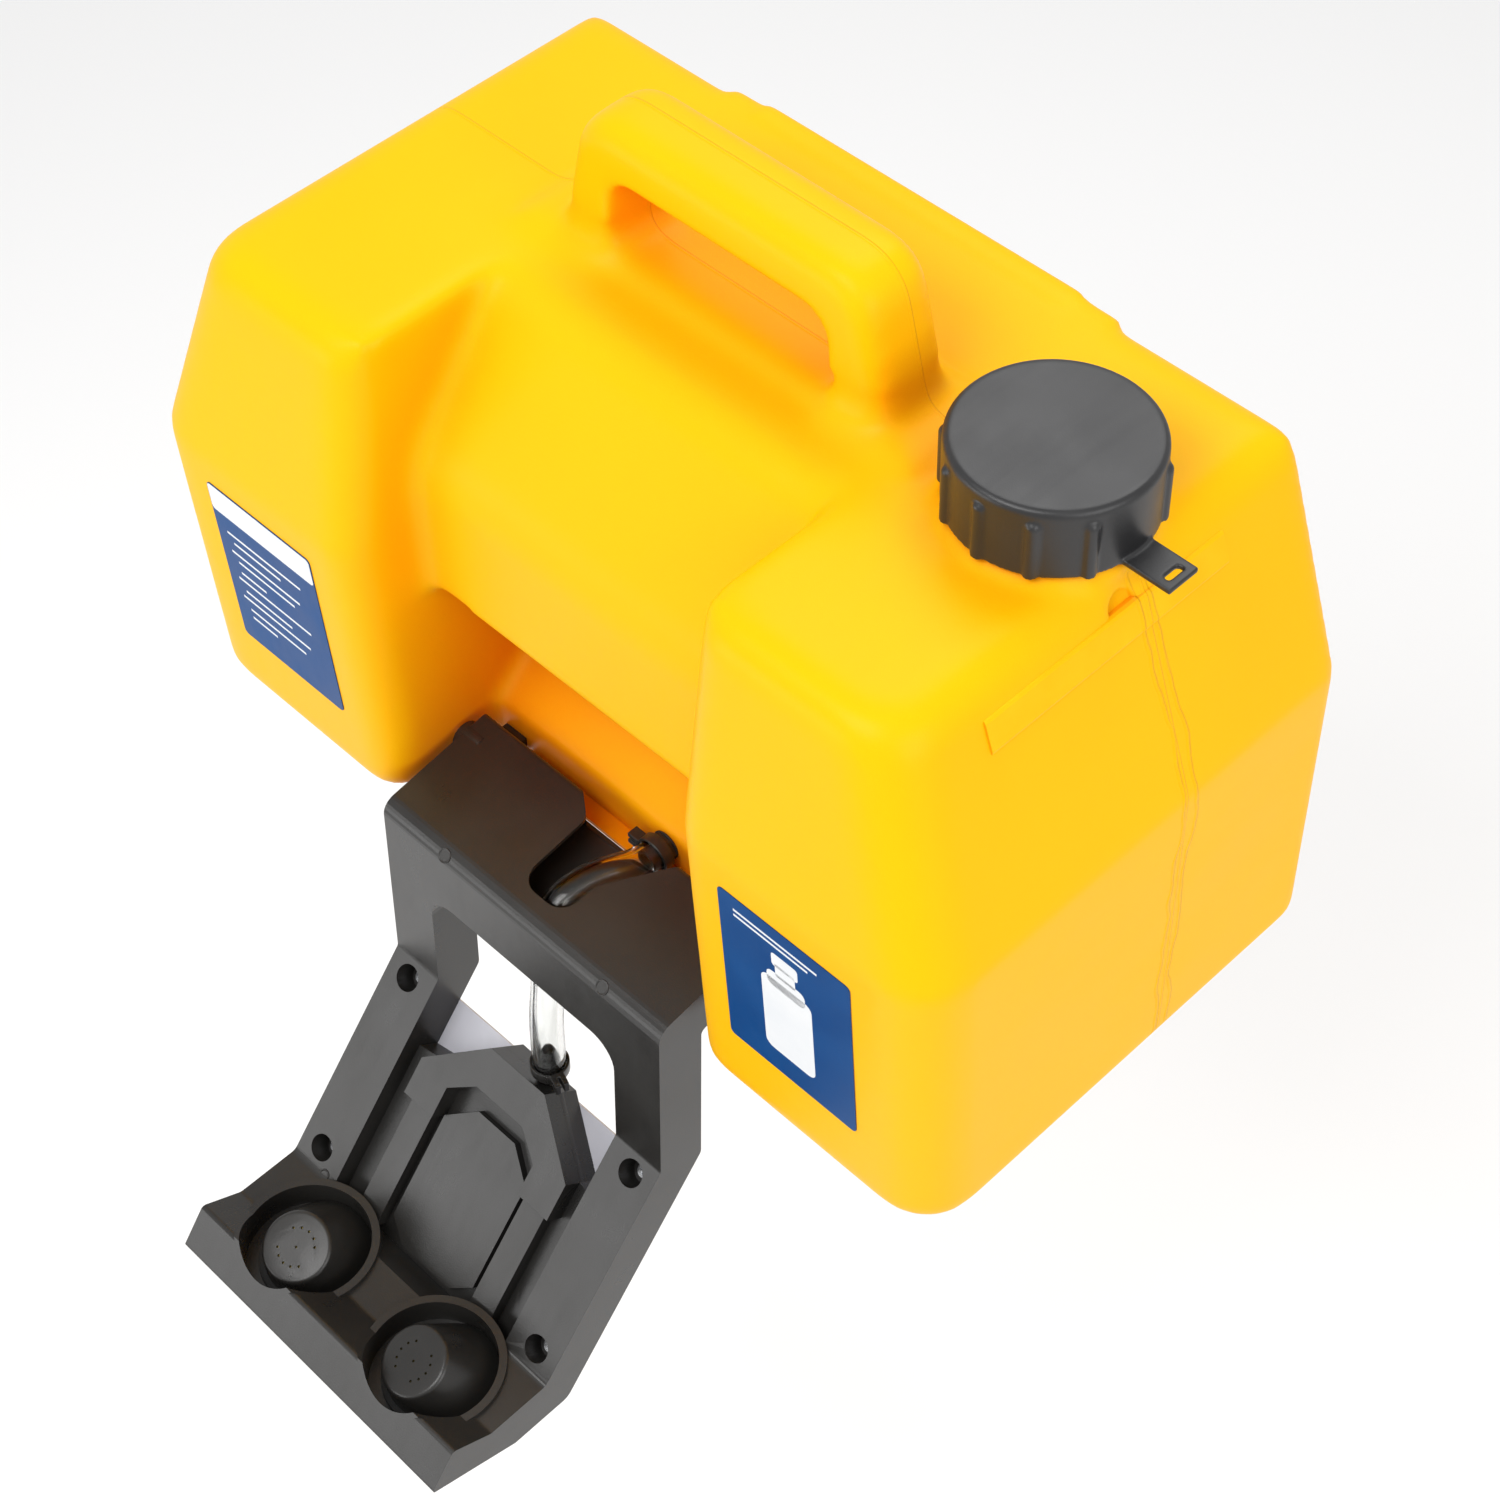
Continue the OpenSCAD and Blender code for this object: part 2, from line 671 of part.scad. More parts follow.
// the arm's outline, let down under the lip for the wells' tubs
module tub_room() {
  arm_part(arm_outline);
  arm_part([lip_tip, [lip_tip[0] + tub_r, well_floor - shell_wall], [toe[0], well_floor - shell_wall], deck_end]);
}

module rims() {
  intersection() {
    wells(rim_w);
    translate([-arm_x, lip_top[0] - hair, well_floor - shell_wall])
      cube([arm_w, -lip_top[0], deck_end[1] + rim_h - well_floor + shell_wall]);
  }
}

module arm_front_shell() {
  color(tank_black) difference() {
    union() {
      rims();
      difference() {
        front_part();
        arm_cavity();
      }
      intersection() {
        front_part();
        union() {
          window_rim();
          hollow(shell_wall);
          at_screws(front_shell_t) cylinder(h = 2 * front_shell_t, d = screw_well_d + 2 * shell_wall);
        }
      }
      intersection() {
        tub_room();
        wells(shell_wall);
      }
      boss_pair(boss_d, arm_x + boss_l - bush_l, bush_l);
    }
    window(0);
    wells(0);
    difference() {
      hollow(0);
      panel();
      rims();
    }
    ways(fit_gap);
    hose_slot();
    hose_drop();
    inlet_space();
    at_screws(front_shell_t - screw_seat) cylinder(h = 2 * front_shell_t, d = screw_well_d);
    at_screws(front_shell_t + hair) cylinder(h = front_shell_t, d = screw_d);
    boss_pair(bush_d, arm_x + boss_l - bush_l - hair, bush_l + 2 * hair);
  }
}

panel_t = 5;
panel_x = [15, 34, 20];                     // half widths at its top, its middle and its foot
panel_s = [-50, -66, -135, -146];
panel_half = [[panel_x[0], panel_s[0]], [panel_x[1], panel_s[1]],
              [panel_x[1], panel_s[2]], [panel_x[2], panel_s[3]]];

function mirrored(pts) = concat(pts, [for (i = [len(pts) - 1:-1:0]) [-pts[i][0], pts[i][1]]]);

// the raised panel on the floor of the hollow
module panel() {
  on_slope() translate([0, 0, -hollow_t - hair]) linear_extrude(panel_t + hair)
    polygon(mirrored(panel_half));
}

lug_w = 16;
lug_t = 10;
lug_gap = 0.3;
post_d = 11;                                // posts that the screws bite into

// the lugs that meet the tank's foot and stop the lowered arm
module stop_lugs() {
  reach = -foot_d - lug_gap - box_back[0];
  both_sides() translate([arm_x - lug_w, box_back[0] - shell_wall, box_back[1] - arm_t])
    cube([lug_w, reach + shell_wall, lug_t]);
}

module arm_rear_shell() {
  color(tank_black) difference() {
    union() {
      stop_lugs();
      difference() {
        back_part();
        arm_cavity();
      }
      intersection() {
        back_part();
        union() {
          window_rim();
          at_screws(arm_t) cylinder(h = arm_t, d = post_d);
        }
      }
    }
    window(0);
    wells(rim_w);
    hose_slot();
    hose_drop();
    inlet_space();
    at_screws(arm_t - shell_wall) cylinder(h = arm_t, d = screw_d);
    boss_pair(boss_d, arm_x - bush_l, 2 * bush_l);
  }
}

module pivot_pins() {
  pin_x0 = arm_x + boss_l - bush_l;
  pin_x1 = lobe_x + socket_l - tank_wall - 2 * hair;
  color("silver") both_sides() pin_place(pin_x0) cylinder(h = pin_x1 - pin_x0, d = pin_d);
}

module pivot_bushes() {
  color("ivory") difference() {
    boss_pair(bush_d, arm_x + boss_l - bush_l, bush_l);
    boss_pair(pin_d + 2 * pin_gap, arm_x + boss_l - bush_l - hair, bush_l + 2 * hair);
  }
}

screw_foot = arm_t - shell_wall - 1;        // depth of the screws' ends
screw_l = screw_foot - front_shell_t + screw_seat;
screw_head_d = 8;
screw_head_t = 3;
cross_w = 1;
cross_l = 4.8;

module arm_screws() {
  color("silver") at_screws(screw_foot) difference() {
    union() {
      cylinder(h = screw_l, d = screw_d);
      translate([0, 0, screw_l]) cylinder(h = screw_head_t, d = screw_head_d);
    }
    translate([0, 0, screw_l + cross_w]) for (a = [0, 90])
      rotate([0, 0, a]) translate([-cross_l / 2, -cross_w / 2, 0]) cube([cross_l, cross_w, screw_head_t]);
  }
}

// ---- water way and heads ---------------------------------------------------------
cover_in = [19, 36];                        // half widths of the gap between the chevron's legs
cover_s = [-35, -48, -68];                  // its top, its shoulder and the legs' feet
cover_half = [[cover_in[0], cover_s[0]], [cover_in[1], cover_s[1]], [cover_in[1], cover_s[2]],
              [hub_x, cover_s[2]], [hub_x, hub_low], [hub_flat, hub_top]];
cover_face = backwards(mirrored(backwards(cover_half)));
cover_sunk = 1;                             // cover's face, below the rails' face
way_w = 17;
way_x = 47;
way_t = 9;
way_end = -slope_l - 3;
way_from = -60;      // the two ways start under the cover's legs
tunnel = [-80, 30];  // start and length of the room for them in the cover
play = 0.3;

module manifold_cover() {
  color(tank_black) difference() {
    on_slope() translate([0, 0, -hollow_t]) linear_extrude(hollow_t - cover_sunk) polygon(cover_face);
    on_slope() translate([0, 0, -hollow_t - hair]) linear_extrude(hollow_t - cover_sunk - shell_wall + hair)
      polygon(inset(cover_face, shell_wall));
    inlet_space();
    on_slope() for (side = [-1, 1])
      translate([side * way_x - way_w / 2 - fit_gap, tunnel[0], -hollow_t - hair])
        cube([way_w + 2 * fit_gap, tunnel[1], way_t + fit_gap]);
  }
}

// the two raised ways down to the wells, grown by t
module ways(t) {
  on_slope() for (side = [-1, 1])
    translate([side * way_x - way_w / 2 - t, way_end - t, -hollow_t])
      cube([way_w + 2 * t, way_from - way_end + 2 * t, way_t + t]);
}

module manifold() {
  color("#1f1f1f") difference() {
    union() {
      on_slope() translate([0, 0, -hollow_t]) linear_extrude(way_t)
        polygon(inset(cover_face, shell_wall + play));
      ways(0);
      inlet_block(0);
      barb(0);
    }
    translate([inlet_x, inlet_y, inlet_z - barb_root / 2])
      cylinder(h = 3 * barb_l, d = hose_id - 2 * bore_wall);
  }
}

seal_t = 1.5;
seal_w = 9;
head_wall = 2.2;
head_in = 2;         // heads' middles, behind the wells'
head_sink = 12;      // length below the head's foot before the foot is cut level

// a spray head's axis, from the middle of its foot
module at_head(side) {
  translate([side * head_gap / 2, well_y + head_in, well_floor + seal_t])
    rotate([head_lean, 0, 0]) rotate([0, -side * head_toe, 0]) children();
}

// everything above the head's seal
module above_seal() {
  translate([-arm_w, -2 * arm_w - pivot_y, well_floor + seal_t]) cube([2 * arm_w, 2 * arm_w, arm_w]);
}

jet_ring = head_top_d * 0.27;
jet_step = 26;
function jet_turn(side) = side < 0 ? 90 : 0;
function jets(side) = concat([[0, 0]],
  [for (half = [0, 180], step = [-2:2])
    let (a = half + jet_turn(side) + step * jet_step) jet_ring * [cos(a), sin(a)]]);

module head(side) {
  difference() {
    intersection() {
      at_head(side) translate([0, 0, -head_sink]) cone(0);
      above_seal();
    }
    intersection() {
      at_head(side) translate([0, 0, -head_sink]) cone(head_wall);
      translate([0, 0, -hair]) above_seal();
    }
    at_head(side) for (p = jets(side))
      translate([p[0], p[1], 0]) cylinder(h = 2 * head_h, d = jet_d, $fn = 16);
  }
}

// the head's cone, carried on below its foot so that the foot can be cut level
module cone(t) {
  spread = (head_low_d - head_top_d) / head_h;
  cylinder(h = head_h + head_sink - t, d1 = head_low_d + head_sink * spread - 2 * t, d2 = head_top_d - 2 * t);
}

module left_head() { color(tank_black) head(-1); }
module right_head() { color(tank_black) head(1); }

filter_t = 7.5;

module filter(side) {
  color("#c9b458") at_head(side) translate([0, 0, head_h - head_wall - filter_t - play])
    cylinder(h = filter_t, d = head_top_d - 2 * head_wall - 2 * play);
}

module left_filter() { filter(-1); }
module right_filter() { filter(1); }

module head_seals() {
  color("#161616") for (side = [-1, 1])
    translate([side * head_gap / 2, well_y + head_in, well_floor]) difference() {
      cylinder(h = seal_t, d = head_low_d + seal_w / 2);
      translate([0, 0, -hair]) cylinder(h = seal_t + 2 * hair, d = head_low_d - 3 * seal_w / 2);
    }
}

// ---- sign -------------------------------------------------------------------------
sign_t = 1.5;
sign_w = 164;
sign_l = 110;
sign_low = -126;
rivet_x = 77;
rivet_s = [-30, -118];
rivet_d = 3;
sign_places = [for (x = [-rivet_x, rivet_x], y = rivet_s) [x, y]];

module sign_plate() {
  color("white") on_slope() translate([-sign_w / 2, sign_low, -arm_t - sign_t]) difference() {
    cube([sign_w, sign_l, sign_t]);
    for (p = sign_places) translate([p[0] + sign_w / 2, p[1] - sign_low, -hair])
      cylinder(h = 2 * sign_t, d = rivet_d);
  }
}

module sign_rivets() {
  color("silver") for (p = sign_places) on_slope() translate([p[0], p[1], -arm_t - 2 * sign_t]) {
    cylinder(h = sign_t, d = 2 * rivet_d);
    cylinder(h = 2 * sign_t, d = rivet_d);
  }
}

tank_shell();
left_label();
right_label();
pivot_pins();
outlet_fitting();
outlet_washer();
outlet_nut();
strainer();
outlet_clamp();
hose();
cap_gasket();
filler_cap();
arm_front_shell();
arm_rear_shell();
pivot_bushes();
arm_screws();
manifold();
manifold_cover();
inlet_clamp();
left_head();
right_head();
left_filter();
right_filter();
head_seals();
sign_plate();
sign_rivets();
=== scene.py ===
import math
import bpy
from mathutils import Matrix, Vector


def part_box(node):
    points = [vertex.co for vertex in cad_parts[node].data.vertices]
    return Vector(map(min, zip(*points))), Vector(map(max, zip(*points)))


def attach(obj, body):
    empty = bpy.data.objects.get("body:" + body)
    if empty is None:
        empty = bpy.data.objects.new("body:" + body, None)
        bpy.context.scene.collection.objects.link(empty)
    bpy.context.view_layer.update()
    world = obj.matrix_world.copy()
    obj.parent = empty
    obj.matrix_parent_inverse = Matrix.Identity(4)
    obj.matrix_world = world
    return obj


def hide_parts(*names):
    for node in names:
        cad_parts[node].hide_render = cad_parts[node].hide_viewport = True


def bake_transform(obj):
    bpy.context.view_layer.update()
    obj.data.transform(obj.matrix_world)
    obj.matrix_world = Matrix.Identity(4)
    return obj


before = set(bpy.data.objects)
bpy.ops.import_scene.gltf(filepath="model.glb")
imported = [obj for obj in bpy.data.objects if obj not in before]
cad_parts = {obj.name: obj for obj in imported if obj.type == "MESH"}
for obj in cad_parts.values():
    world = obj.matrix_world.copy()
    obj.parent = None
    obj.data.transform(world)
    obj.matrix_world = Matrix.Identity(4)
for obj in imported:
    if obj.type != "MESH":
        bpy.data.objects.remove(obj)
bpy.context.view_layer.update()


# ---- Camera ----------------------------------------------------------------
# A standing viewer looks down at the station from the front and the filler
# cap's side, with the arm lowered towards them.
lens = bpy.data.cameras.new("camera")
lens.sensor_width = 36
lens.lens = 74.18
lens.shift_x = 0.0322
lens.shift_y = -0.0967
camera = bpy.data.objects.new("camera", lens)
bpy.context.collection.objects.link(camera)
camera.matrix_world = Matrix((
    (0.69824, -0.50902, 0.50334, 0.7984),
    (0.71526, 0.52499, -0.46130, -0.8917),
    (-0.02944, 0.68212, 0.73065, 1.3090),
    (0, 0, 0, 1)))
bpy.context.scene.camera = camera


# ---- Studio ----------------------------------------------------------------
# A pale floor below the lowered arm, a white room, and broad lights: overhead,
# in front, low at the viewer's left for the sheen of the arm, and at the right.
def soft_light(name, place, aim, width, height, power):
    panel = bpy.data.lights.new(name, "AREA")
    panel.shape = "RECTANGLE"
    panel.size = width
    panel.size_y = height
    panel.energy = power
    light = bpy.data.objects.new(name, panel)
    bpy.context.collection.objects.link(light)
    light.location = place
    light.rotation_euler = (Vector(aim) - Vector(place)).to_track_quat("-Z", "Y").to_euler()


soft_light("overhead_light", (-0.4, 0.9, 1.9), (0, -0.15, 0.1), 1.4, 1.0, 15)
soft_light("front_light", (0.1, -1.5, 1.9), (0, -0.3, -0.1), 1.4, 0.8, 24)
soft_light("low_light", (-0.95, -2.2, 0.15), (0, -0.35, -0.1), 1.3, 1.0, 11)
soft_light("right_light", (1.9, -0.4, 0.9), (0, -0.15, 0.1), 1.2, 1.4, 14)

room = bpy.data.worlds.new("room")
bpy.context.scene.world = room
room.use_nodes = True
room.node_tree.nodes["Background"].inputs["Color"].default_value = (1, 1, 1, 1)
room.node_tree.nodes["Background"].inputs["Strength"].default_value = 0.72
bpy.context.scene.view_settings.view_transform = "Standard"

floor_z = -0.85
bpy.ops.object.select_all(action="DESELECT")
bpy.ops.mesh.primitive_grid_add(x_subdivisions=8, y_subdivisions=8, size=14, location=(0, 0, floor_z))
floor = bpy.context.object
floor.name = "floor"
bpy.ops.object.transform_apply(location=True, rotation=False, scale=False)
pale = bpy.data.materials.new("pale_floor")
pale.use_nodes = True
pale_shader = pale.node_tree.nodes["Principled BSDF"]
pale_shader.inputs["Base Color"].default_value = (0.93, 0.93, 0.93, 1)
pale_shader.inputs["Roughness"].default_value = 0.9
floor.data.materials.append(pale)


# ---- Tank --------------------------------------------------------------------
# Blow moulded yellow polyethylene: two lobes, the lower middle between them with
# its recess and sill, a handle on two feet, the filler neck, and a lip along the
# top of the back.
tank_half = 0.280
tank_top_half = 0.236
tank_high = 0.325
crease_high = 0.193
tank_top_deep = 0.276
tank_mid_deep = 0.295
tank_low_deep = 0.286
recess_half = 0.115
seam_deep = 0.120
neck_x = 0.190
foot_round = 0.010


def block(name, low, high):
    """A block between two corners, with its place in its mesh, open for editing."""
    bpy.ops.object.select_all(action="DESELECT")
    low, high = Vector(low), Vector(high)
    bpy.ops.mesh.primitive_cube_add(size=1, location=(low + high) / 2, scale=high - low)
    bpy.context.object.name = name
    bpy.ops.object.transform_apply(location=True, rotation=True, scale=True)
    bpy.ops.object.mode_set(mode="EDIT")
    return bpy.context.object


def drum(name, place, radius, depth, sides=64, turn=(0, 0, 0), top=None):
    """A drum or cone round a point, with its place in its mesh, open for editing."""
    bpy.ops.object.select_all(action="DESELECT")
    bpy.ops.mesh.primitive_cone_add(vertices=sides, radius1=radius, radius2=radius if top is None else top,
                                    depth=depth, location=place, rotation=turn)
    bpy.context.object.name = name
    bpy.ops.object.transform_apply(location=True, rotation=True, scale=True)
    bpy.ops.object.mode_set(mode="EDIT")
    return bpy.context.object


def slice_off(point, outward):
    """Cuts away all that lies outside a plane and closes the cut."""
    bpy.ops.mesh.select_all(action="SELECT")
    bpy.ops.mesh.bisect(plane_co=point, plane_no=outward, use_fill=True, clear_outer=True)


def pick_edges(piece, wanted):
    """Selects the edges whose middle and direction pass a test."""
    bpy.ops.mesh.select_all(action="DESELECT")
    bpy.ops.object.mode_set(mode="OBJECT")
    points = piece.data.vertices
    found = 0
    for edge in piece.data.edges:
        a, b = (points[i].co for i in edge.vertices)
        edge.select = wanted((a + b) / 2, (b - a).normalized())
        found += edge.select
    bpy.ops.object.mode_set(mode="EDIT")
    bpy.ops.mesh.select_mode(type="EDGE")
    return found


def round_edges(piece, wanted, radius, steps=5):
    if pick_edges(piece, wanted):
        bpy.ops.mesh.bevel(offset=radius, segments=steps, affect="EDGES", clamp_overlap=False)


def finish_edit(piece):
    bpy.ops.mesh.select_all(action="SELECT")
    bpy.ops.mesh.remove_doubles(threshold=0.00002)
    bpy.ops.mesh.normals_make_consistent(inside=False)
    bpy.ops.object.mode_set(mode="OBJECT")
    return piece


def soften_near(piece, wanted, passes):
    """Smooths only the vertices that pass a test, to run two walls into each other."""
    near = piece.vertex_groups.new(name="near")
    near.add([v.index for v in piece.data.vertices if wanted(v.co)], 1.0, "REPLACE")
    modify(piece, "SMOOTH", factor=0.5, iterations=passes, vertex_group="near")
    piece.vertex_groups.remove(piece.vertex_groups["near"])


def choose(piece):
    """Makes a piece the active one and the only one selected."""
    bpy.ops.object.select_all(action="DESELECT")
    piece.select_set(True)
    bpy.context.view_layer.objects.active = piece


def modify(piece, kind, **settings):
    """Adds a modifier and applies it at once."""
    modifier = piece.modifiers.new(kind.lower(), kind)
    for setting, value in settings.items():
        setattr(modifier, setting, value)
    choose(piece)
    bpy.ops.object.modifier_apply(modifier=modifier.name)


def cut(piece, *tools):
    """Takes the tools' shapes out of the piece and throws the tools away."""
    for tool in tools:
        modify(piece, "BOOLEAN", object=tool, operation="DIFFERENCE", solver="EXACT")
        bpy.data.objects.remove(tool)


def weld_together(name, *parts):
    bpy.ops.object.select_all(action="DESELECT")
    for part in parts:
        part.select_set(True)
    bpy.context.view_layer.objects.active = parts[0]
    bpy.ops.object.join()
    parts[0].name = name
    return parts[0]


def lobe(side):
    inner, outer = recess_half * side, tank_half * side
    crease = (0, -tank_mid_deep, crease_high)
    near_front, near_end, end_round, recess_round, top_round = -0.26, 0.22, 0.030, 0.022, 0.017
    piece = block("lobe", (min(inner, outer), -tank_mid_deep, 0), (max(inner, outer), 0, tank_high))
    slice_off((outer, 0, crease_high), (side * (tank_high - crease_high), 0, tank_half - tank_top_half))
    slice_off(crease, (0, crease_high - tank_high, tank_mid_deep - tank_top_deep))
    slice_off(crease, (0, -crease_high, tank_low_deep - tank_mid_deep))
    round_edges(piece, lambda p, d: p.y < near_front and abs(p.x) > near_end
                and abs(d.x) < 0.5 and abs(d.y) < 0.5, end_round)
    round_edges(piece, lambda p, d: p.y < near_front and abs(p.x) < 0.13 and abs(d.x) < 0.5, recess_round)
    round_edges(piece, lambda p, d: p.z > tank_high - 0.001 and abs(p.x) > 0.12
                and not (abs(d.y) > 0.9 and abs(p.x) < 0.14), top_round)
    round_edges(piece, lambda p, d: p.y > -0.001 and abs(p.x) > 0.2 and abs(d.x) < 0.5, foot_round, 4)
    round_edges(piece, lambda p, d: p.z < 0.001, foot_round, 4)
    return finish_edit(piece)


def middle():
    """The low part between the lobes, sloping down to the recess that the arm hangs from."""
    half = recess_half + 0.015
    past = half + 0.01
    front, brow, crease_round = -0.245, -0.181, 0.016
    recess_foot, recess_top, recess_front, recess_back, clear = 0.028, 0.145, -0.211, -0.160, -0.32
    piece = block("middle", (-half, front, 0), (half, 0, tank_high))
    slice_off((0, brow, tank_high), (0, -0.088, 0.062))
    round_edges(piece, lambda p, d: abs(d.x) > 0.9 and p.z > 0.2 and p.y < -0.1, crease_round)
    round_edges(piece, lambda p, d: p.z < 0.001 and p.y > -0.001, foot_round, 4)
    finish_edit(piece)
    hollow = block("recess", (-past, clear, recess_foot), (past, recess_back, recess_top))
    slice_off((0, recess_front, recess_foot), (0, 0.051, -0.051))
    slice_off((0, recess_back, 0.130), (0, 0.015, 0.085))
    round_edges(hollow, lambda p, d: abs(d.x) > 0.9 and p.y > -0.17, crease_round)
    finish_edit(hollow)
    below = block("below", (-past, clear, -0.01), (past, recess_front, 0.030))
    finish_edit(below)
    cut(piece, hollow, below)
    return piece


def handle():
    """A tapering block through which the grip is cut."""
    half_wide, half_deep, handle_high = 0.122, 0.024, 0.084
    grip_half, grip_foot = 0.075, tank_high + 0.006
    piece = block("handle", (-half_wide, -seam_deep - half_deep, tank_high - 0.03),
                  (half_wide, -seam_deep + half_deep, tank_high + handle_high))
    for side in (-1, 1):
        slice_off((side * 0.118, 0, tank_high - 0.02), (side * 0.104, 0, 0.025))
    round_edges(piece, lambda p, d: abs(d.y) > 0.9 and p.z > tank_high, 0.020, 6)
    round_edges(piece, lambda p, d: abs(d.y) < 0.5 and p.z > tank_high - 0.02, 0.013, 4)
    finish_edit(piece)
    grip = block("grip", (-grip_half, -0.2, grip_foot), (grip_half, 0, tank_high + 0.054))
    for side in (-1, 1):
        slice_off((side * 0.076, 0, grip_foot), (side * 0.048, 0, 0.006))
    round_edges(grip, lambda p, d: abs(d.y) > 0.9, 0.012)
    finish_edit(grip)
    cut(piece, grip)
    return piece


foot_x, foot_half_wide, foot_half_deep = 0.104, 0.030, 0.033
neck_radius, collar_radius, bore_radius = 0.042, 0.049, 0.037
lip_half = 0.105

feet = []
for side in (-1, 1):
    foot = block("foot", (side * foot_x - foot_half_wide, -seam_deep - foot_half_deep, tank_high - 0.010),
                 (side * foot_x + foot_half_wide, -seam_deep + foot_half_deep, tank_high + 0.007))
    round_edges(foot, lambda p, d: p.z > tank_high, 0.006, 3)
    feet.append(finish_edit(foot))
sill = block("sill", (-0.090, -0.221, 0), (0.090, -0.200, 0.0025))
finish_edit(sill)
neck = drum("neck", (neck_x, -seam_deep, tank_high + 0.015), neck_radius, 0.050)
finish_edit(neck)
collar = drum("collar", (neck_x, -seam_deep, tank_high), collar_radius, 0.008)
finish_edit(collar)
back_lip = block("back_lip", (-lip_half, -0.014, tank_high - 0.02), (lip_half, 0, tank_high + 0.002))
finish_edit(back_lip)
end_strip = block("end_strip", (0.226, -0.222, 0.288), (0.252, -0.062, 0.306))
slice_off((0.2455, 0, 0.300), (0.132, 0, 0.044))
round_edges(end_strip, lambda p, d: abs(d.y) > 0.9 and p.x > 0.235, 0.002, 2)
finish_edit(end_strip)

tank = weld_together("tank", lobe(1), lobe(-1), middle(), handle(), *feet, neck, collar, back_lip)
bore = drum("bore", (neck_x, -seam_deep, tank_high + 0.02), bore_radius, 0.100)
finish_edit(bore)
scoop = drum("scoop", (0.256, -0.130, tank_high - 0.012), 0.0085, 0.040, 24, (0, 1.1, 0), top=0.0065)
finish_edit(scoop)
modify(tank, "REMESH", mode="VOXEL", voxel_size=0.0035)
cut(tank, bore, scoop)
modify(tank, "SMOOTH", factor=0.5, iterations=12)
# the handle's feet run into the top, and the middle's slope into the lobes
soften_near(tank, lambda p: abs(p.x) < 0.155 and abs(p.y + seam_deep) < 0.05 and 0.312 < p.z < 0.350, 24)
soften_near(tank, lambda p: abs(abs(p.x) - recess_half) < 0.03 and -0.262 < p.y < -0.15 and p.z > 0.14, 16)
bpy.ops.object.shade_smooth()
tank = weld_together("tank", tank, end_strip, sill)


def shader_group(name, takes, gives):
    """A reusable effect: named inputs with their usual values, and named outputs."""
    group = bpy.data.node_groups.new(name, "ShaderNodeTree")
    for socket, value in takes.items():
        kind = "NodeSocketColor" if isinstance(value, tuple) else "NodeSocketFloat"
        group.interface.new_socket(socket, in_out="INPUT", socket_type=kind).default_value = value
    for socket, kind in gives.items():
        group.interface.new_socket(socket, in_out="OUTPUT", socket_type=kind)
    return group, group.nodes.new("NodeGroupInput").outputs, group.nodes.new("NodeGroupOutput").inputs


def node(tree, kind, **settings):
    made = tree.nodes.new("ShaderNode" + kind)
    for setting, value in settings.items():
        setattr(made, setting, value)
    return made


def combine(tree, operation, first, second, third=None):
    """One Math node; each operand is a socket or a number."""
    made = node(tree, "Math", operation=operation)
    for place, operand in enumerate((first, second, third)):
        if isinstance(operand, (int, float)):
            made.inputs[place].default_value = operand
        elif operand is not None:
            tree.links.new(operand, made.inputs[place])
    return made.outputs[0]


def noise(tree, scale, detail=3.0, stretch=(1, 1, 1)):
    coords = node(tree, "TexCoord")
    mapping = node(tree, "Mapping")
    mapping.inputs["Scale"].default_value = stretch
    grain = node(tree, "TexNoise")
    grain.inputs["Detail"].default_value = detail
    tree.links.new(coords.outputs["Object"], mapping.inputs["Vector"])
    tree.links.new(mapping.outputs["Vector"], grain.inputs["Vector"])
    if isinstance(scale, (int, float)):
        grain.inputs["Scale"].default_value = scale
    else:
        tree.links.new(scale, grain.inputs["Scale"])
    return grain.outputs["Fac"]


def ramp(tree, value, low, high, start=0.0, end=1.0):
    spread = node(tree, "MapRange", clamp=True)
    tree.links.new(value, spread.inputs["Value"])
    for socket, number in (("From Min", low), ("From Max", high), ("To Min", start), ("To Max", end)):
        if isinstance(number, (int, float)):
            spread.inputs[socket].default_value = number
        else:
            tree.links.new(number, spread.inputs[socket])
    return spread.outputs["Result"]


def mix_colours(tree, share, first, second):
    mix = node(tree, "Mix", data_type="RGBA")
    tree.links.new(share, mix.inputs[0])
    for place, colour in ((6, first), (7, second)):
        if isinstance(colour, tuple):
            mix.inputs[place].default_value = colour
        else:
            tree.links.new(colour, mix.inputs[place])
    return mix.outputs[2]


# the skin that a mould leaves: a fine grain over slow waves of the wall
skin, skin_in, skin_out = shader_group(
    "moulded_skin", {"Fine Scale": 900.0, "Wave Scale": 40.0, "Wave Share": 0.5},
    {"Height": "NodeSocketFloat"})
wave = noise(skin, skin_in["Wave Scale"], 2)
fine = noise(skin, skin_in["Fine Scale"], 4)
skin.links.new(combine(skin, "MULTIPLY_ADD", wave, skin_in["Wave Share"], fine), skin_out["Height"])

# what hands and carrying leave: slow patches of tone and shine, and fine rubbed streaks
handled, handled_in, handled_out = shader_group(
    "handling", {"Fresh": (1.0, 1.0, 1.0, 1.0), "Handled": (0.5, 0.5, 0.5, 1.0), "Patch Scale": 9.0,
                 "Shiny": 0.3, "Dull": 0.5},
    {"Colour": "NodeSocketColor", "Roughness": "NodeSocketFloat"})
patches = ramp(handled, noise(handled, handled_in["Patch Scale"], 5), 0.35, 0.7)
streaks = ramp(handled, noise(handled, 160.0, 3, (1, 0.08, 0.3)), 0.45, 0.75)
tone = mix_colours(handled, patches, handled_in["Fresh"], handled_in["Handled"])
rubbing = combine(handled, "MULTIPLY_ADD", streaks, 0.35, patches)
dullness = ramp(handled, rubbing, 0.0, 1.2, handled_in["Shiny"], handled_in["Dull"])
handled.links.new(tone, handled_out["Colour"])
handled.links.new(dullness, handled_out["Roughness"])

